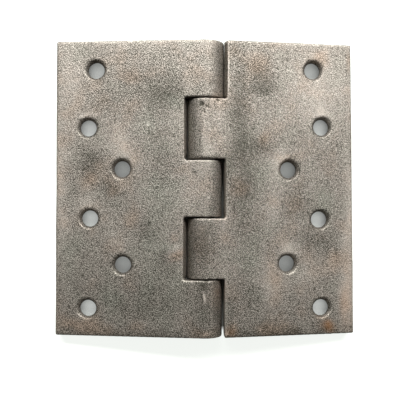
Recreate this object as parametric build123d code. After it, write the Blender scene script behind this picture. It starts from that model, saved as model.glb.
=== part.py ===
# Cast-iron butt hinge of five knuckles, lying open with its countersunk inner faces down.
# Units are millimetres. The origin is on the surface under the middle of the barrel, the pin runs along Y,
# the leaf with three knuckles reaches to -X and the leaf with two to +X, and +Z is up.
from build123d import *

import os
from math import asin, atan2, cos, degrees, hypot, radians, sin, sqrt, tan

# Casting
hinge_length = 101.6        # along the pin, over the end knuckles
leaf_reach = 52.0           # from the pin's axis to a leaf's outer edge
barrel_radius = 6.25        # outside of the knuckles
face_offset = 0.75          # from the pin's axis to an inner face, half the gap between the closed leaves
edge_thickness = 4.5        # leaf at its outer edge, and it thickens from there to the barrel
edge_round = 0.5            # cast outer edges, eased in cleaning
end_bevel = 0.3             # both ends of the hinge, dressed on a wheel

# The castings run out of square. Each outer corner, at the +Y end and then at the -Y end, lies this far out from
# the pin and this far towards +Y of its place on a square leaf.
three_leaf_corners = [(-0.2, 0.7), (-0.2, 0.0)]
two_leaf_corners = [(-0.5, 0.5), (0.35, 0.2)]
end_stock = 3.0             # left on both ends until a leaf is cut to its outline

# Knuckles
three_leaf_pitch = 19.8     # length that each knuckle of the three-knuckle leaf takes, with its gap
knuckle_gap = 0.45          # between the end faces of neighbouring knuckles
root_fillet = 1.0           # where a knuckle meets the inner face

# Notches that take the other leaf's knuckles. Their cast walls lean, each by its own amount from the inner
# face to the outer one, listed from the +Y end and positive towards the barrel.
notch_clearance = 0.45      # between the barrel and a notch wall, at the inner face
three_leaf_notch_leans = [0.1, -0.15]
two_leaf_notch_leans = [0.15, 0.7, 1.05]

# Pin, riveted over into a countersink at each end of the barrel
pin_radius = 3.175
pin_clearance = 0.08        # radial, between the pin and the bored knuckles
rivet_depth = 0.9           # of the countersink in each end knuckle
rivet_flare = 0.7           # by which the countersink opens beyond the bore
rivet_crown = 0.2           # low dome that stands proud of the knuckle

# Screw holes for No. 12 countersunk wood screws, cast with a flare at the outer face
screw_hole_radius = 2.8
countersink_radius = 5.3
countersink_half_angle = 45.0
flare_radius = 3.6          # of a hole's rim at the outer face
flare_depth = 1.3           # over which the rim narrows to the hole

# Screw holes of each leaf, as distance in from the outer edge and distance in from one end of the hinge
three_leaf_far_holes = [(14.2, 9.6), (11.45, 29.7), (23.5, 44.05)]
three_leaf_near_holes = [(11.6, 9.4), (23.85, 24.55), (12.1, 40.45)]
two_leaf_far_holes = [(14.55, 9.15), (11.3, 29.0), (23.4, 44.15)]
two_leaf_near_holes = [(11.5, 9.4), (23.95, 24.9), (12.1, 40.2)]

# What follows from those sizes
half_length = hinge_length / 2
two_leaf_pitch = (hinge_length - 3 * three_leaf_pitch) / 2
bore_radius = pin_radius + pin_clearance
rivet_radius = bore_radius + rivet_flare
notch_wall = barrel_radius + notch_clearance
edge_height = face_offset + edge_thickness
taper = asin(barrel_radius / hypot(leaf_reach, edge_height)) - atan2(edge_height, leaf_reach)


def outer_height(reach):
    """Height of the outer face over the pin's axis, square to the inner face."""
    return barrel_radius / cos(taper) - reach * tan(taper)


def rest_slope(corners):
    """Slope in radians at which a leaf lies, with the barrel and its eased outer edge on the surface."""
    reach = leaf_reach + max(out for out, up in corners) - edge_round
    height = face_offset + edge_round
    return asin((barrel_radius - edge_round) / hypot(reach, height)) + atan2(height, reach)


def knuckle_spans():
    """Low and high end face of each of the five knuckles, from the +Y end, with stock on both outer ends."""
    first = half_length - three_leaf_pitch
    cuts = [first, first - two_leaf_pitch, two_leaf_pitch - first, -first]
    highs = [half_length + end_stock] + [cut - knuckle_gap / 2 for cut in cuts]
    lows = [cut + knuckle_gap / 2 for cut in cuts] + [-half_length - end_stock]
    return list(zip(lows, highs))


def prism(section, low, high):
    """Solid of a section drawn in reach and height, between two places along the pin."""
    return Pos(0, high, 0) * extrude(Plane.XZ * section, high - low)


def plate_section(lean=0.0):
    """Leaf outside the barrel, with a flat inner face and an outer face that falls to the edge."""
    wall_top = notch_wall - lean
    stock_end = leaf_reach + end_stock
    return make_face(
        Polyline(
            (notch_wall, face_offset),
            (stock_end, face_offset),
            (stock_end, outer_height(stock_end)),
            (wall_top, outer_height(wall_top)),
            close=True,
        )
    )


def knuckle_section():
    """Barrel and its web, tangent to the leaf's outer face and filleted to the inner one."""
    web_end = notch_wall + 2 * root_fillet
    web = make_face(
        Polyline(
            (0, face_offset),
            (web_end, face_offset),
            (web_end, outer_height(web_end)),
            (barrel_radius * sin(taper), barrel_radius * cos(taper)),
            close=True,
        )
    )
    section = Circle(barrel_radius) + web
    corner = Vertex(sqrt(barrel_radius**2 - face_offset**2), face_offset, 0)
    root = section.vertices().sort_by_distance(corner)[0]
    return fillet(root, root_fillet)


def leaf_outline(corners):
    """Block with a leaf's outline, whose straight ends run from its outer corners through the axis' ends."""
    (far_out, far_up), (near_out, near_up) = corners
    far_reach = leaf_reach + far_out
    near_reach = leaf_reach + near_out
    back = -2 * barrel_radius
    outline = Polyline(
        (back, half_length + far_up * back / far_reach),
        (far_reach, half_length + far_up),
        (near_reach, near_up - half_length),
        (back, near_up * back / near_reach - half_length),
        close=True,
    )
    return extrude(make_face(outline), 2 * barrel_radius, both=True)


def ease_edges(leaf):
    """Rounds the leaf's outer edge and bevels both of its ends."""
    outer_edge = leaf.faces().sort_by(Axis.X)[-1]
    leaf = fillet(outer_edge.edges().sort_by(SortBy.LENGTH)[-2:], edge_round)
    end_faces = leaf.faces().sort_by(Axis.Y)
    return chamfer(end_faces[0].edges() + end_faces[-1].edges(), end_bevel)


def screw_places(far_holes, near_holes):
    """Places of a leaf's screw holes, as reach from the axis and place along the pin."""
    far = [(leaf_reach - inset, half_length - along) for inset, along in far_holes]
    near = [(leaf_reach - inset, along - half_length) for inset, along in near_holes]
    return far + near


def screw_cutter(reach, along):
    """Screw hole square to the inner face, countersunk there and flared at the outer face."""
    depth = (countersink_radius - screw_hole_radius) / tan(radians(countersink_half_angle))
    shank = Cylinder(screw_hole_radius, 4 * barrel_radius)
    head = Pos(0, 0, depth / 2) * Cone(countersink_radius, screw_hole_radius, depth)
    flare = Cone(screw_hole_radius, 2 * flare_radius - screw_hole_radius, 2 * flare_depth)
    flare = Pos(0, 0, outer_height(reach) - face_offset) * flare
    return Pos(reach, along, face_offset) * (shank + head + flare)


def leaf_body(knuckles, notches, leans, corners, holes):
    """One cast leaf with its own knuckles, its notches and its screw holes, flat before it is laid at rest."""
    leaf = Part()
    for low, high in knuckles:
        leaf += prism(plate_section() + knuckle_section(), low, high)
    for (low, high), lean in zip(notches, leans):
        leaf += prism(plate_section(lean), low - knuckle_gap, high + knuckle_gap)
    leaf = ease_edges(leaf & leaf_outline(corners))
    for reach, along in holes:
        leaf -= screw_cutter(reach, along)
    return leaf - Rot(90, 0, 0) * Cylinder(bore_radius, 2 * hinge_length)


def rivet_countersinks():
    """Cones at both ends of the barrel into which the pin is riveted over, open to the outside."""
    cone = Pos(0, 0, -rivet_depth / 2) * Cone(bore_radius, rivet_radius, rivet_depth)
    mouth = Pos(0, 0, end_stock / 2) * Cylinder(rivet_radius, end_stock)
    far = Pos(0, half_length, 0) * Rot(-90, 0, 0) * (cone + mouth)
    return far + mirror(far, about=Plane.XZ)


def three_knuckle_leaf():
    """Leaf with the first, third and fifth knuckles, which carries the riveted pin."""
    spans = knuckle_spans()
    holes = screw_places(three_leaf_far_holes, three_leaf_near_holes)
    leaf = leaf_body(spans[::2], spans[1::2], three_leaf_notch_leans, three_leaf_corners, holes)
    laid = Rot(0, degrees(rest_slope(three_leaf_corners)), 0) * (leaf - rivet_countersinks())
    return Pos(0, 0, barrel_radius) * mirror(laid, about=Plane.YZ)


def two_knuckle_leaf():
    """Leaf with the second and fourth knuckles, which swings on the pin."""
    spans = knuckle_spans()
    holes = screw_places(two_leaf_far_holes, two_leaf_near_holes)
    leaf = leaf_body(spans[1::2], spans[::2], two_leaf_notch_leans, two_leaf_corners, holes)
    return Pos(0, 0, barrel_radius) * Rot(0, degrees(rest_slope(two_leaf_corners)), 0) * leaf


def hinge_pin():
    """Steel pin with both ends spread into the countersinks and left as low domes."""
    flare_slope = rivet_depth / rivet_flare
    neck = half_length - (rivet_radius - pin_radius) * flare_slope
    tip = half_length + rivet_crown
    sides = Polyline(
        (rivet_radius, half_length), (pin_radius, neck), (pin_radius, -neck), (rivet_radius, -half_length)
    )
    chord_middle = (rivet_radius / 2, half_length + 0.75 * rivet_crown)
    far_dome = ThreePointArc((0, tip), chord_middle, (rivet_radius, half_length))
    near_dome = mirror(far_dome, about=Plane.XZ)
    axis_line = Line((0, -tip), (0, tip))
    profile = make_face([far_dome, sides, near_dome, axis_line])
    return Pos(0, 0, barrel_radius) * revolve(profile, Axis.Y)


pieces = {
    "three_knuckle_leaf": three_knuckle_leaf(),
    "two_knuckle_leaf": two_knuckle_leaf(),
    "hinge_pin": hinge_pin(),
}
os.makedirs("parts", exist_ok=True)
for name, piece in pieces.items():
    piece.label = name
    export_step(piece, f"parts/{name}.step")
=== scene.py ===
import bpy
import numpy as np
from math import radians
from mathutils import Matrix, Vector


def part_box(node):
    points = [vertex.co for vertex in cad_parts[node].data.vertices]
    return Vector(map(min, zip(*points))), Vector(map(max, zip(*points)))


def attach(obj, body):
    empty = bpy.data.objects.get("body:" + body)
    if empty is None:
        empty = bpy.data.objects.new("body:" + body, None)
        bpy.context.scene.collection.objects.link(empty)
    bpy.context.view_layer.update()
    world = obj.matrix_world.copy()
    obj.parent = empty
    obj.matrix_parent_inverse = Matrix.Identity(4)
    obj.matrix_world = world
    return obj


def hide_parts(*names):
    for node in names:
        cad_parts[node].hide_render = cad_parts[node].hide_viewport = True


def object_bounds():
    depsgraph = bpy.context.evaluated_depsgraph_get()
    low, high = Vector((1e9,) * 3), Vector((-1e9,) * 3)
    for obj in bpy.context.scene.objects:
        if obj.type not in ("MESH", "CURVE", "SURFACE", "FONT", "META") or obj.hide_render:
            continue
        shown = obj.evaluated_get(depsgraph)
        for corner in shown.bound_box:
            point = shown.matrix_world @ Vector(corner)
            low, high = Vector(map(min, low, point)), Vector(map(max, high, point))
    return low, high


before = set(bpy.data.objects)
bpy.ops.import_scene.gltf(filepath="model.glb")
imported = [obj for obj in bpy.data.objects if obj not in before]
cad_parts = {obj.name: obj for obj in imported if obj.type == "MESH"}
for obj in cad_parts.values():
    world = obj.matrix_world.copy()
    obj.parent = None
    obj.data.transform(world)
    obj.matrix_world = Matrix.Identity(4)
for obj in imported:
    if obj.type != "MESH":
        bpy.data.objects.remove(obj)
cad_low, cad_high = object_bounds()

# The left leaf is one sand casting in grey iron: a tapered plate with the first, third and fifth knuckles run
# flush into its outer face. It was drilled and countersunk for six wood screws, dressed on a wheel along its
# edges, and shot blasted bare, which left a fine sandy grain and soft uneven tones of grey and brown.
MM = 0.001                # metres in a millimetre, and the sizes below are in millimetres
skin_step = 0.415         # side of the squares that the casting's skin is made of
edge_sharpening = 0.7     # share of their roundness that the eased edges get back
pin_height = sum(corner.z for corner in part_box("hinge_pin")) / 2 / MM      # its axis over the table
bore_radius = 3.27        # the skin stays outside the drilled bore
bore_wall = 3.6           # skin that starts nearer the axis is the wall of the bore
bore_skin = 4.5           # nearer the axis the skin has no swells
knuckle_outside = 7.2     # farther from the axis is the leaf
open_clearance = 6.42     # notch walls keep this far out, clear of the other leaf when the hinge stands open
leaf_slope = radians(7.8)


def drift(points, swell, seed):
    """Smooth random field from -1 to 1 at every point, with its swells about one swell apart."""
    cells = 32
    lattice = np.random.default_rng(seed).uniform(-1, 1, (cells, cells, cells))
    place = points / swell + cells
    cell = np.floor(place).astype(int)
    part = place - cell
    part = part * part * (3 - 2 * part)
    field = np.zeros(len(points))
    for corner in np.ndindex(2, 2, 2):
        weight = np.prod(np.where(corner, part, 1 - part), axis=1)
        field += weight * lattice[tuple(((cell + corner) % cells).T)]
    return field


def ramp(values, start, full):
    """0 at start and 1 at full, straight between them and level beyond them. Full may be the smaller one."""
    return np.clip((values - start) / (full - start), 0, 1)


def cast_skin(node):
    """Even mesh of squares over a solid, with its corners eased as a blasted casting's are."""
    raw = bpy.data.objects.new(node + "_raw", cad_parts[node].data.copy())
    bpy.context.scene.collection.objects.link(raw)
    remesh = raw.modifiers.new("squares", "REMESH")
    remesh.mode = "VOXEL"
    remesh.voxel_size = skin_step * MM
    easing = raw.modifiers.new("eased", "SMOOTH")
    easing.factor = 0.5
    easing.iterations = 2
    mesh = bpy.data.meshes.new_from_object(raw.evaluated_get(bpy.context.evaluated_depsgraph_get()))
    bpy.data.objects.remove(raw)
    mesh.materials.clear()
    mesh.shade_smooth()
    piece = bpy.data.objects.new(node + "_casting", mesh)
    bpy.context.scene.collection.objects.link(piece)
    return piece


def per_vertex(mesh, name):
    """The mesh's places or normals as one row of three numbers for each vertex."""
    flat = np.zeros(len(mesh.vertices) * 3)
    mesh.vertices.foreach_get(name, flat)
    return flat.reshape(-1, 3)


def neighbours_mean(mesh, values):
    """Mean of a value over each vertex' neighbours along the mesh's edges."""
    pairs = np.zeros(len(mesh.edges) * 2, dtype=np.int32)
    mesh.edges.foreach_get("vertices", pairs)
    first, second = pairs.reshape(-1, 2).T
    total, count = np.zeros_like(values), np.zeros(len(values))
    for here, there in ((first, second), (second, first)):
        np.add.at(total, here, values[there])
        np.add.at(count, here, 1)
    return total / (count if values.ndim == 1 else count[:, None])


def spots(points, places):
    """Sum of soft oval spots seen from above: middle, two half widths and turn in degrees, then strength."""
    total = np.zeros(len(points))
    for across, along, half_across, half_along, turn, strength in places:
        x, y = points[:, 0] - across, points[:, 1] - along
        cos, sin = np.cos(radians(turn)), np.sin(radians(turn))
        u, v = (x * cos + y * sin) / half_across, (y * cos - x * sin) / half_along
        total += strength * np.exp(-(u * u + v * v))
    return total


def inside_holes(points, holes, side, radius):
    """1 within a radius of a screw hole's axis and 0 outside, for holes that lean to the leaf's own side."""
    soft_border = 0.3
    axis = np.array([side * np.sin(leaf_slope), 0, np.cos(leaf_slope)])
    inside = np.zeros(len(points))
    for rim_middle in holes:
        offset = points - np.array(rim_middle)
        across = offset - np.outer(offset @ axis, axis)
        inside = np.maximum(inside, ramp(np.linalg.norm(across, axis=1), radius, radius - soft_border))
    return inside


def from_pin(points):
    """Distance of every point from the pin's axis."""
    return np.hypot(points[:, 0], points[:, 2] - pin_height)


def facing_up(normals):
    """1 on skin that is seen from above, 0 on walls and undersides."""
    return ramp(normals[:, 2], 0, 0.5)


def swell_and_pit(points, normals, seed, pits):
    """Skin with the casting's shallow swells, fading on the knuckles' ends and in the bore, and its pits."""
    swells = ((13, 0.10), (4.5, 0.022), (1.7, 0.005))       # width and height of each kind
    blasted_off = 0.05
    end_share = 0.15                                        # of the swells, on ends that face a gap
    depth = sum(height * drift(points, width, seed + kind) for kind, (width, height) in enumerate(swells))
    depth -= blasted_off
    depth *= np.clip(1.3 - np.abs(normals[:, 1]) * 1.5, end_share, 1)
    depth *= ramp(from_pin(points), bore_skin, bore_skin + 1)
    depth -= facing_up(normals) * spots(points, pits)
    return points + normals * depth[:, None]


def shift_flanks(points, moved, flanks):
    """Moves knuckles' right flanks to one side: from where to where along the pin, and how far."""
    flank_side = (2.0, 5.5)       # right of the axis, from where the move starts to where it is whole
    upper_half = (5.9, 6.9)       # over the table, the same for a flank that moves outwards
    for low, high, sideways in flanks:
        in_span = (points[:, 1] > low) & (points[:, 1] < high) & (from_pin(points) > bore_skin)
        flank = ramp(points[:, 0], *flank_side) * (from_pin(points) < knuckle_outside)
        if sideways > 0:
            flank *= ramp(points[:, 2], *upper_half)
        moved[:, 0] += in_span * flank * sideways


def draw_in_walls(points, moved, side, walls):
    """Draws notch walls towards the barrel under their tops: from where to where along the pin, and how far.

    The last number of a wall is a radius round the pin that it stays outside.
    """
    near_end, far_end = 1, 0.5    # lengths along the pin over which a wall's move comes in and goes out
    wall_side = (8.5, 7.0)        # out from the axis, from where the move starts to where it is whole
    under_edge = (11.2, 8.5)      # over the table, the same from the wall's top down
    barrel = 6                    # nearer the axis are the knuckles
    for low, high, inward, clear_radius in walls:
        in_span = ramp(points[:, 1], low, low + near_end) * ramp(points[:, 1], high, high - far_end)
        reach = side * moved[:, 0]
        beside_wall = ramp(reach, *wall_side) * (from_pin(points) > barrel) * in_span
        below_top = ramp(points[:, 2], *under_edge)
        over_pin = moved[:, 2] - pin_height
        clear = np.maximum(open_clearance, np.sqrt(np.maximum(clear_radius ** 2 - over_pin ** 2, 0)))
        kept = np.maximum(reach - beside_wall * below_top * inward, np.minimum(reach, clear))
        moved[:, 0] = np.where(beside_wall > 0, side * kept, moved[:, 0])


def keep_bore_open(points, moved):
    """Pushes the bore's skin out where it would come nearer the pin than the drill left it."""
    smallest = 0.1                # so that nothing is divided by zero
    in_bore = from_pin(points) < bore_wall
    radius = np.maximum(from_pin(moved), smallest)
    push = np.where(in_bore & (radius < bore_radius), bore_radius / radius, 1)
    moved[:, 0] *= push
    moved[:, 2] = pin_height + (moved[:, 2] - pin_height) * push


def wear_and_painted_light_layers(mesh, points, normals, side, seed, holes, tones, warmth, marks, rust):
    """Strength of each kind of wear, painted shade and painted highlight at every point. Stains have wandering
    borders, and marks plain ones.
    """
    sharp = 1 / 14                      # how far a point of a sharp edge stands out from its neighbours
    hole_rim, hole_wall = 4.4, 3.7      # radii within which a screw hole's rim and its wall lie
    wander_width, wander_reach = 6, 1.6
    # Shares of painted shade: on the ring just round each screw hole, on the holes' walls and on the near ends.
    rim_shade, wall_shade, end_shade = 0.2, 0.1, 0.55
    bend = np.einsum("ij,ij->i", points - neighbours_mean(mesh, points), normals)
    for _ in range(2):
        bend = 0.5 * bend + 0.5 * neighbours_mean(mesh, bend)
    wander = np.stack([drift(points, wander_width, seed + k) for k in (3, 4, 5)], axis=1)
    stained = points + wander_reach * wander
    rims = inside_holes(points, holes, side, hole_rim)
    walls_of_holes = inside_holes(points, holes, side, hole_wall)
    near_ends = ramp(-normals[:, 1], 0.4, 0.9)
    upward = facing_up(normals)
    return {
        # The tone holds the stains and marks, less a painted shade on the ring just round each screw hole.
        "tone": upward * (spots(stained, tones) + spots(points, marks)) - rim_shade * (rims - walls_of_holes),
        "warmth": upward * spots(stained, warmth),
        "rust": upward * spots(stained, rust),
        # Painted shade on the walls of the holes and on the ends that face the near side.
        "painted_end_and_hole_shade": np.maximum(wall_shade * walls_of_holes, end_shade * near_ends),
        "worn_edge": ramp(bend, 0, sharp) * (1 - rims),
        "corner_dirt": ramp(-bend, 0, sharp),
    }


def weather(piece, side, seed, pits, flanks, walls, **wear):
    """Gives a casting its uneven skin and its dents, and keeps the layers of its wear, painted shade and painted
    highlight in the mesh.
    """
    mesh = piece.data
    points, normals = per_vertex(mesh, "co") / MM, per_vertex(mesh, "normal")
    points += edge_sharpening * (points - neighbours_mean(mesh, points))
    moved = swell_and_pit(points, normals, seed, pits)
    shift_flanks(points, moved, flanks)
    draw_in_walls(points, moved, side, walls)
    keep_bore_open(points, moved)
    mesh.vertices.foreach_set("co", np.clip(moved * MM, np.array(cad_low), np.array(cad_high)).ravel())
    mesh.update()
    for name, values in wear_and_painted_light_layers(mesh, points, normals, side, seed, **wear).items():
        mesh.attributes.new(name, "FLOAT", "POINT").data.foreach_set("value", values.astype(np.float32))


def linear(hex_colour):
    """Linear RGBA of an sRGB hex value."""
    channels = [int(hex_colour[i:i + 2], 16) / 255 for i in (1, 3, 5)]
    return [c / 12.92 if c <= 0.04045 else ((c + 0.055) / 1.055) ** 2.4 for c in channels] + [1.0]


def add(tree, kind, inputs, **settings):
    """One shader node with its settings, and its sockets filled or linked."""
    node = tree.nodes.new(kind)
    for name, value in settings.items():
        setattr(node, name, value)
    for socket, value in inputs.items():
        if isinstance(value, bpy.types.NodeSocket):
            tree.links.new(value, node.inputs[socket])
        else:
            node.inputs[socket].default_value = value
    return node


colour_a, colour_b, mixed = 6, 7, 2       # a Mix node's sockets for colours


def blasted_iron():
    """Shot-blasted grey cast iron under a thin brown oxide: a dull metal, speckled by its sandy grain."""
    material = bpy.data.materials.new("blasted_cast_iron")
    material.use_nodes = True
    tree = material.node_tree
    tree.nodes.clear()
    place = add(tree, "ShaderNodeTexCoord", {}).outputs["Object"]
    # The sand left grains a quarter of a millimetre wide, some bright from the blasting and some dull.
    sand = add(tree, "ShaderNodeTexNoise", {"Vector": place, "Scale": 1 / (0.26 * MM), "Detail": 0.0})
    grain = add(tree, "ShaderNodeMapRange", {"Value": sand.outputs["Fac"], "From Min": 0.38, "From Max": 0.7})
    clump = add(tree, "ShaderNodeTexNoise", {"Vector": place, "Scale": 1 / (1.6 * MM), "Detail": 2.0})
    cloud = add(tree, "ShaderNodeTexNoise", {"Vector": place, "Scale": 1 / (11 * MM), "Detail": 3.0,
                                             "Roughness": 0.55})
    tone, worn, dirt, rust, warmth, painted_end_and_hole_shade = (
        add(tree, "ShaderNodeAttribute", {}, attribute_name=layer).outputs["Fac"]
        for layer in ("tone", "worn_edge", "corner_dirt", "rust", "warmth", "painted_end_and_hole_shade")
    )
    # How light the metal is: a plain shade, and then each layer by its own share.
    shade = 0.23
    shares = ((tone, 1.6), (grain.outputs[0], 1.75), (clump.outputs["Fac"], 0.05),
              (cloud.outputs["Fac"], 0.4), (worn, 0.4))
    for layer, share in shares:
        lighter = add(tree, "ShaderNodeMath", {0: layer, 1: share, 2: shade}, operation="MULTIPLY_ADD")
        shade = lighter.outputs[0]
    level = add(tree, "ShaderNodeMapRange", {"Value": shade, "From Min": 0.35, "From Max": 2.35})
    colour = add(tree, "ShaderNodeMix", {"Factor": level.outputs[0], colour_a: linear("#4d4a41"),
                                         colour_b: linear("#cec5ba")}, data_type="RGBA")
    # Oxide tints the metal brown where it is thicker and greenish grey where it is thin, and the warmth layer
    # also carries a painted cool reflection on two knuckle flanks. The tints are factors on red, green and blue.
    brown_tint, green_tint = (1.09, 0.965, 0.88, 1.0), (0.95, 1.015, 0.99, 1.0)
    oxide = add(tree, "ShaderNodeTexNoise", {"Vector": place, "Scale": 1 / (8 * MM), "Detail": 2.0, "W": 3.0},
                noise_dimensions="4D")
    drifting = add(tree, "ShaderNodeMapRange", {"Value": oxide.outputs["Fac"], "From Min": 0.3,
                                                "From Max": 0.7, "To Min": -0.5, "To Max": 0.5})
    warm = add(tree, "ShaderNodeMath", {0: warmth, 1: drifting.outputs[0]}, operation="ADD").outputs[0]
    cool = add(tree, "ShaderNodeMath", {0: warm, 1: -1.0}, operation="MULTIPLY").outputs[0]
    brown = add(tree, "ShaderNodeMix", {"Factor": warm, colour_a: colour.outputs[mixed], colour_b: brown_tint},
                data_type="RGBA", blend_type="MULTIPLY")
    tinted = add(tree, "ShaderNodeMix", {"Factor": cool, colour_a: brown.outputs[mixed], colour_b: green_tint},
                 data_type="RGBA", blend_type="MULTIPLY")
    rusty = add(tree, "ShaderNodeMix", {"Factor": rust, colour_a: tinted.outputs[mixed],
                                        colour_b: linear("#9a6a3a")}, data_type="RGBA")
    # Dirt in the corners, and painted shade on the near ends and on the walls of the holes, which lie in shade.
    dirt_plus_painted_shade = add(tree, "ShaderNodeMath", {0: dirt, 1: 0.6, 2: painted_end_and_hole_shade}, operation="MULTIPLY_ADD",
                use_clamp=True)
    dirt_and_shade_mix = add(tree, "ShaderNodeMath", {0: dirt_plus_painted_shade.outputs[0], 1: 0.9}, operation="MULTIPLY")
    dull = add(tree, "ShaderNodeMix", {"Factor": dirt_and_shade_mix.outputs[0], colour_a: rusty.outputs[mixed],
                                       colour_b: linear("#2b2722")}, data_type="RGBA")
    rough = add(tree, "ShaderNodeMapRange", {"Value": clump.outputs["Fac"], "To Min": 0.47, "To Max": 0.57})
    fine = add(tree, "ShaderNodeBump", {"Height": grain.outputs[0], "Distance": 0.05 * MM, "Strength": 0.7})
    bump = add(tree, "ShaderNodeBump", {"Height": clump.outputs["Fac"], "Distance": 0.1 * MM, "Strength": 0.1,
                                        "Normal": fine.outputs[0]})
    shader = add(tree, "ShaderNodeBsdfPrincipled", {"Base Color": dull.outputs[mixed], "Metallic": 0.8,
                                                   "Roughness": rough.outputs[0], "Normal": bump.outputs[0]})
    add(tree, "ShaderNodeOutputMaterial", {"Surface": shader.outputs[0]})
    return material


iron = blasted_iron()
left = cast_skin("three_knuckle_leaf")
weather(
    left, side=-1, seed=11,
    holes=[(-38.20, 41.20, 6.57), (-40.92, 21.10, 6.15), (-29.01, 6.75, 8.02), (-40.27, -10.35, 6.25),
           (-28.67, -26.25, 8.07), (-40.77, -41.40, 6.17)],
    # Tone spots: the metal's own uneven grey, and partly painted sheen and shade, such as the darker lower
    # knuckle and near end.
    tones=[
        (-19.0, 49.5, 25.9, 1.7, 0, 0.2), (-19.0, 34.5, 13.1, 6.2, 0, -0.25), (-14.0, 31.5, 4.8, 3.1, 0, -0.2),
        (-51.0, -0.5, 2.8, 25.9, 0, 0.35), (-40.5, 9.0, 3.8, 3.8, 0, -0.4), (-32.0, 0.5, 4.8, 3.1, -30, -0.35),
        (-26.5, 10.0, 3.4, 4.8, 0, 0.25), (-40.5, -5.5, 3.4, 3.1, 0, 0.35), (-31.0, -17.0, 3.1, 6.9, 35, 0.2),
        (-40.5, 25.5, 2.4, 1.0, 0, 0.5), (-20.5, -14.5, 4.1, 3.4, 0, -0.25), (-15.5, 18.5, 2.8, 2.4, 0, -0.15),
        (-5.5, -2.0, 4.1, 6.2, 0, 0.15), (-10.0, -19.5, 2.1, 1.7, 0, 0.25), (-14.0, -23.0, 1.7, 2.1, 0, -0.15),
        (-19.0, -37.0, 15.5, 6.9, 0, -0.2), (0.5, -40.5, 4.5, 9.7, 0, -0.3), (-0.5, -32.0, 3.4, 1.7, 0, -0.25),
        (-33.0, 30.0, 5.5, 3.1, 0, -0.12), (-20.0, -51.0, 32.0, 2.6, 0, -0.4), (-14.5, 10.0, 3.4, 6.9, 0, -0.2),
        (-13.5, -26.0, 3.4, 3.8, 0, -0.2), (-30.5, 15.5, 3.8, 5.5, 0, 0.3), (-46.5, 39.0, 4.8, 16.0, 0, 0.25),
        (-6.5, 35.5, 1.7, 3.1, 0, 0.2), (-1.0, 8.0, 4.5, 5.5, 0, 0.15), (-26.0, -42.0, 9.0, 3.5, 0, -0.15),
        (-16.0, 29.0, 4.0, 4.5, 0, -0.15),
    ],
    warmth=[
        (-14.5, 28.5, 6.2, 5.5, 0, -0.7), (-13.0, -0.5, 5.5, 6.9, 0, -0.9), (-18.5, 10.0, 3.4, 17.2, 0, -0.4),
        (-15.5, -26.0, 9.7, 20.7, 0, -0.8), (-31.5, -39.0, 4.1, 5.5, 0, -1.0), (-47.0, -20.5, 4.1, 6.9, 0, -0.6),
        (-9.5, -22.5, 3.1, 2.4, 0, 1.6), (-10.5, -16.0, 2.1, 2.1, 0, 1.3), (-26.0, 40.0, 3.1, 3.1, 0, 0.6),
        (-24.0, 10.5, 3.1, 4.1, 0, 0.5), (-32.0, 0.0, 3.1, 3.4, 0, 0.7), (-40.0, 3.5, 3.4, 3.1, 0, 0.6),
        (-26.0, -8.5, 2.8, 4.8, 0, 0.6), (-25.0, -34.0, 2.4, 2.8, 0, 0.6), (-41.5, -48.0, 9.7, 2.4, 0, 1.2),
        (-23.5, -46.5, 3.4, 3.4, 0, 0.8), (-28.5, -20.5, 3.4, 2.8, 0, 0.4), (-1.0, -2.0, 2.8, 4.8, 0, 0.5),
        (4.0, -37.0, 2.4, 6.2, 0, 0.9), (0.5, -48.0, 4.8, 2.1, 0, 0.8),
    ],
    marks=[
        (-0.50, -36.99, 0.4, 1.7, 8, 1.3), (1.20, 2.84, 0.3, 6.2, 0, -0.25), (2.12, -39.42, 0.3, 7.6, 0, 0.25),
        (-1.25, -36.60, 0.3, 1.4, 8, -0.9),
        (-10.60, -19.90, 0.3, 0.5, 0, 0.7), (-9.75, -19.89, 0.3, 0.9, 0, 0.5), (-19.79, 22.11, 0.4, 0.7, 0, 0.9),
        (-19.47, 32.07, 0.3, 0.4, 0, 0.5), (-5.59, -50.73, 0.7, 0.3, 0, 0.7), (-3.70, 5.25, 0.5, 0.5, 0, -0.7),
        (-0.78, -33.29, 1.4, 1.7, 0, -0.3), (2.07, -5.96, 0.9, 3.8, 0, -0.2), (0.60, -49.10, 1.7, 0.4, 0, 0.4),
    ],
    rust=[],
    pits=[(-3.70, 5.25, 0.5, 0.5, 0, 0.18), (1.20, 2.84, 0.3, 6.2, 0, 0.05)],
    flanks=[(31.2, 50.9, 0.3), (-9.8, 9.9, -0.4), (-50.9, -30.9, -0.4)],
    walls=[(10.8, 30.7, 0.4, 6.42), (-30.7, -10.8, 0.4, 6.42)],
)
left.data.materials.append(iron)
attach(left, "fixed_leaf")
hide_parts("three_knuckle_leaf")

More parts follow.
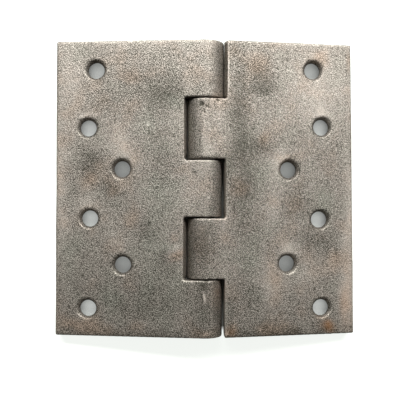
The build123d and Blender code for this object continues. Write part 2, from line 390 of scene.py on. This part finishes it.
# The right leaf is the same casting with the second and fourth knuckles, drilled and dressed in the same way.
# It turns on the pin, and some rust has come up near its lower outer corner.
right = cast_skin("two_knuckle_leaf")
weather(
    right, side=1, seed=47,
    holes=[(37.85, 41.65, 6.68), (41.07, 21.80, 6.18), (29.11, 6.65, 8.04), (40.27, -10.60, 6.30),
           (28.56, -25.90, 8.13), (40.87, -41.40, 6.21)],
    # Tone spots: the metal's own uneven grey, and partly painted sheen and shade, such as the darker strip along
    # the near end.
    tones=[
        (11.5, 28.5, 3.1, 19.0, 0, -0.4), (19.5, 39.0, 4.5, 5.5, 0, -0.4), (11.5, 3.0, 5.5, 8.3, 0, -0.45),
        (13.5, -11.5, 4.5, 8.6, 0, -0.2), (40.5, 38.5, 11.7, 13.1, 0, 0.25), (26.0, 10.5, 3.4, 4.8, 0, 0.4),
        (24.0, -5.5, 2.4, 8.6, 0, 0.2), (31.0, -5.0, 4.8, 4.8, 0, -0.25), (39.0, -17.5, 6.2, 3.1, 0, -0.25),
        (51.0, -16.0, 2.8, 29.3, 0, 0.45), (29.0, -21.0, 2.8, 2.4, 0, 0.6), (22.0, -32.0, 4.8, 5.5, 0, 0.4),
        (34.5, -29.0, 6.9, 4.1, 0, 0.3), (29.5, -50.5, 22.4, 2.4, 0, -0.3), (8.0, -43.5, 2.1, 6.9, 0, -0.3),
        (40.5, 27.0, 2.4, 1.4, 0, 0.35), (0.0, -21.0, 2.8, 8.3, 0, -0.45), (2.5, 12.5, 2.4, 2.4, 0, 0.2),
        (5.5, 25.0, 1.7, 4.1, 0, 0.15), (50.5, -36.0, 2.6, 9.0, 0, 0.4), (17.5, 15.0, 8.6, 3.8, 0, -0.35),
        (19.5, 33.5, 4.8, 2.1, 0, -0.4), (21.0, -46.5, 3.1, 1.7, 0, -0.2), (11.0, 4.5, 2.1, 4.1, 0, 0.3),
        (44.5, -27.0, 3.1, 3.1, 0, 0.25), (15.0, -37.0, 6.0, 8.0, 0, -0.2), (40.0, 30.0, 10.0, 8.0, 0, 0.12),
        (29.0, -51.0, 24.0, 2.6, 0, -0.3),
    ],
    # Warmth: brown and greenish patches of oxide, and a painted cool reflection on the left flanks of the two
    # knuckles.
    warmth=[
        (19.5, 42.5, 4.5, 3.4, 0, 0.9), (13.0, 45.5, 2.8, 3.4, 0, 0.3), (17.5, 6.0, 3.4, 9.7, 0, -0.7),
        (12.5, 0.0, 2.1, 2.8, 0, 0.8), (20.0, 18.0, 3.1, 2.4, 0, 0.6), (31.0, -4.5, 3.4, 3.1, 0, 0.7),
        (40.0, -6.0, 5.2, 5.2, 0, -0.9), (45.0, -24.0, 3.4, 4.1, 0, 0.9), (15.0, -24.5, 4.1, 9.7, 0, -0.7),
        (24.5, -34.0, 3.4, 5.2, 0, 0.7), (9.0, -48.5, 3.1, 2.4, 0, 1.6), (24.0, -48.5, 5.5, 2.4, 0, 1.3),
        (44.0, -48.0, 3.1, 2.8, 0, 1.6), (50.5, -39.0, 2.1, 8.6, 0, 1.0), (41.0, 46.0, 3.1, 2.1, 0, 0.6),
        (50.5, 44.5, 1.7, 3.4, 0, 0.8), (1.5, -21.0, 3.1, 9.3, 0, 0.2), (-5.5, 20.0, 1.7, 11.0, 0, -0.6),
        (-5.5, -20.5, 1.7, 9.7, 0, -0.9), (7.5, 7.0, 3.1, 2.4, 0, -0.6),
    ],
    # Marks: pits, scratches and bright specks, and painted light: painted shade on the left flank of the lower
    # knuckle and along
    # the end of the upper knuckle, and painted highlights on two notch walls' top edges, one with a painted dark
    # line beside it.
    marks=[
        (-1.39, 28.62, 0.7, 0.9, 0, -1.1), (-5.90, -20.00, 1.3, 12.0, 0, -0.25), (3.96, 29.94, 0.4, 0.4, 0, -0.9),
        (-0.60, 26.00, 0.3, 0.5, 20, -0.8), (0.10, 27.60, 0.5, 0.3, 30, -0.7), (6.30, -2.00, 0.5, 7.5, 0, 0.7),
        (28.31, 44.90, 0.5, 0.4, 0, -0.8), (7.25, -48.99, 0.5, 0.4, 0, 0.9), (18.71, -48.37, 0.4, 0.5, 0, 0.9),
        (12.07, -26.73, 0.3, 0.3, 0, 0.6), (16.25, -31.92, 0.3, 0.3, 0, 0.6), (0.68, 10.63, 4.5, 0.4, 0, -0.5),
        (-0.19, 18.76, 0.9, 8.6, 0, 0.10), (-1.88, 18.78, 0.5, 8.6, 0, -0.20), (7.20, 40.50, 0.3, 9.5, 0, -0.7),
        (7.60, 40.50, 0.3, 9.5, 0, 0.6),
    ],
    rust=[
        (43.5, -47.8, 1.7, 2.1, 0, 0.6), (40.2, -43.9, 1.7, 1.0, 0, 0.2), (49.3, -38.9, 1.4, 4.1, 0, 0.2),
        (9.0, -49.0, 2.4, 1.0, 0, 0.2),
    ],
    pits=[
        (-1.39, 28.62, 0.7, 0.9, 0, 0.3), (3.96, 29.94, 0.4, 0.4, 0, 0.2), (28.31, 44.90, 0.5, 0.4, 0, 0.15),
        (-0.60, 26.00, 0.4, 0.6, 20, 0.2), (0.10, 27.60, 0.5, 0.4, 30, 0.15),
    ],
    flanks=[],
    walls=[(30.9, 52.0, 0.8, 6.66), (-9.8, 9.8, 0.8, 6.42), (-50.8, -30.9, 0.8, 6.42)],
)
right.data.materials.append(iron)
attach(right, "swinging_leaf")
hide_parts("two_knuckle_leaf")

# The pin is a turned steel rod, pushed through the bored knuckles and riveted over at both ends of the
# barrel. It is smoother and a little darker than the castings, with the flats of the hammer on its low heads.


def hammered_steel():
    """Dull mild steel: drawn and turned, then hammered at its ends, so it shines more than the cast iron."""
    material = bpy.data.materials.new("hammered_mild_steel")
    material.use_nodes = True
    tree = material.node_tree
    tree.nodes.clear()
    place = add(tree, "ShaderNodeTexCoord", {}).outputs["Object"]
    blows = add(tree, "ShaderNodeTexVoronoi", {"Vector": place, "Scale": 1 / (2.2 * MM), "Smoothness": 0.6},
                feature="SMOOTH_F1")
    film = add(tree, "ShaderNodeTexNoise", {"Vector": place, "Scale": 1 / (0.9 * MM), "Detail": 3.0})
    colour = add(tree, "ShaderNodeMix", {"Factor": film.outputs["Fac"], colour_a: linear("#4b463f"),
                                         colour_b: linear("#8d857a")}, data_type="RGBA")
    rough = add(tree, "ShaderNodeMapRange", {"Value": film.outputs["Fac"], "To Min": 0.3, "To Max": 0.55})
    bump = add(tree, "ShaderNodeBump", {"Height": blows.outputs["Distance"], "Distance": 0.15 * MM,
                                        "Strength": 0.6})
    shader = add(tree, "ShaderNodeBsdfPrincipled", {"Base Color": colour.outputs[mixed], "Metallic": 0.9,
                                                   "Roughness": rough.outputs[0], "Normal": bump.outputs[0]})
    add(tree, "ShaderNodeOutputMaterial", {"Surface": shader.outputs[0]})
    return material


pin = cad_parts["hinge_pin"]
pin.data.materials.clear()
pin.data.materials.append(hammered_steel())

# The table is white card under the hinge. It glows to the camera alone, so that it shows white all round, and its
# matt face keeps the hinge's shadow. The glow is dimmed where the hinge closes the card off from the room, which
# paints shade into the holes and the gaps beside the barrel.
table_size = 4.0              # metres
bpy.ops.mesh.primitive_plane_add(size=table_size)
table = bpy.context.object
table.name = "table"
card = bpy.data.materials.new("white_card")
card.use_nodes = True
card_tree = card.node_tree
card_tree.nodes.clear()
card_rays = add(card_tree, "ShaderNodeLightPath", {})
air = add(card_tree, "ShaderNodeAmbientOcclusion", {"Distance": 25 * MM})
glow_dimmed_in_painted_shade = add(card_tree, "ShaderNodeMapRange", {"Value": air.outputs["AO"], "From Min": 0.04,
                                                 "From Max": 0.45, "To Max": 0.85})
# Painted shadow under the barrel: no glow there, fading in beside it and beyond both its ends.
card_place = add(card_tree, "ShaderNodeTexCoord", {}).outputs["Object"]
aside = add(card_tree, "ShaderNodeVectorMath", {0: card_place}, operation="ABSOLUTE")
axes = add(card_tree, "ShaderNodeSeparateXYZ", {"Vector": aside.outputs[0]})
beside, beyond = (
    add(card_tree, "ShaderNodeMapRange", {"Value": axes.outputs[way], "From Min": start * MM,
                                          "From Max": full * MM})
    for way, start, full in (("X", 9, 13), ("Y", 48.5, 50.5))
)
clear = add(card_tree, "ShaderNodeMath", {0: beside.outputs[0], 1: beyond.outputs[0]}, operation="MAXIMUM")
share = add(card_tree, "ShaderNodeMath", {0: glow_dimmed_in_painted_shade.outputs[0], 1: clear.outputs[0]}, operation="MULTIPLY")
glow = add(card_tree, "ShaderNodeMath", {0: card_rays.outputs["Is Camera Ray"], 1: share.outputs[0]},
           operation="MULTIPLY")
matt = add(card_tree, "ShaderNodeBsdfDiffuse", {"Color": linear("#bfc2bd")})
card_glow_and_painted_shade = add(card_tree, "ShaderNodeEmission", {"Color": (0.97, 1.0, 0.97, 1.0), "Strength": glow.outputs[0]})
both = add(card_tree, "ShaderNodeAddShader", {0: matt.outputs[0], 1: card_glow_and_painted_shade.outputs[0]})
add(card_tree, "ShaderNodeOutputMaterial", {"Surface": both.outputs[0]})
table.data.materials.append(card)

# The studio is a dim warm room that shows white to the camera alone. One broad soft lamp hangs over the far
# end of the hinge.
world = bpy.data.worlds.new("studio")
bpy.context.scene.world = world
world.use_nodes = True
room_tree = world.node_tree
room_tree.nodes.clear()
to_camera = add(room_tree, "ShaderNodeLightPath", {}).outputs["Is Camera Ray"]
strength = add(room_tree, "ShaderNodeMapRange", {"Value": to_camera, "To Min": 0.15, "To Max": 1.0})
tint = add(room_tree, "ShaderNodeMix", {"Factor": to_camera, colour_a: (1.0, 0.97, 0.92, 1.0),
                                        colour_b: (1.0, 1.0, 1.0, 1.0)}, data_type="RGBA")
haze = add(room_tree, "ShaderNodeBackground", {"Color": tint.outputs[mixed], "Strength": strength.outputs[0]})
add(room_tree, "ShaderNodeOutputWorld", {"Surface": haze.outputs[0]})


def soft_lamp(name, place, width, height, power):
    """Wide lamp that points at the hinge, with its place and size in metres and its power in watts."""
    lamp = bpy.data.objects.new(name, bpy.data.lights.new(name, "AREA"))
    lamp.data.shape = "RECTANGLE"
    lamp.data.size = width
    lamp.data.size_y = height
    lamp.data.energy = power
    lamp.location = place
    lamp.rotation_euler = (-Vector(place)).to_track_quat("-Z", "Y").to_euler()
    bpy.context.scene.collection.objects.link(lamp)


soft_lamp("window", place=(0.05, 0.55, 0.60), width=1.2, height=0.25, power=13.5)

# The camera looks down on the hinge from close over it, a little to the left of the pin. It leans by about two
# degrees, so that the leaves' corners, the barrel and the screw holes lie where the photo has them.
camera = bpy.data.objects.new("camera", bpy.data.cameras.new("camera"))
bpy.context.scene.collection.objects.link(camera)
camera.location = (-8.8 * MM, -7.5 * MM, 224.9 * MM)
camera.rotation_mode = "ZYX"
camera.rotation_euler = (radians(0.96), radians(-1.83), radians(0.13))
camera.data.sensor_width = 36.0
camera.data.lens = 56.59
bpy.context.scene.camera = camera
bpy.context.scene.view_settings.view_transform = "Standard"
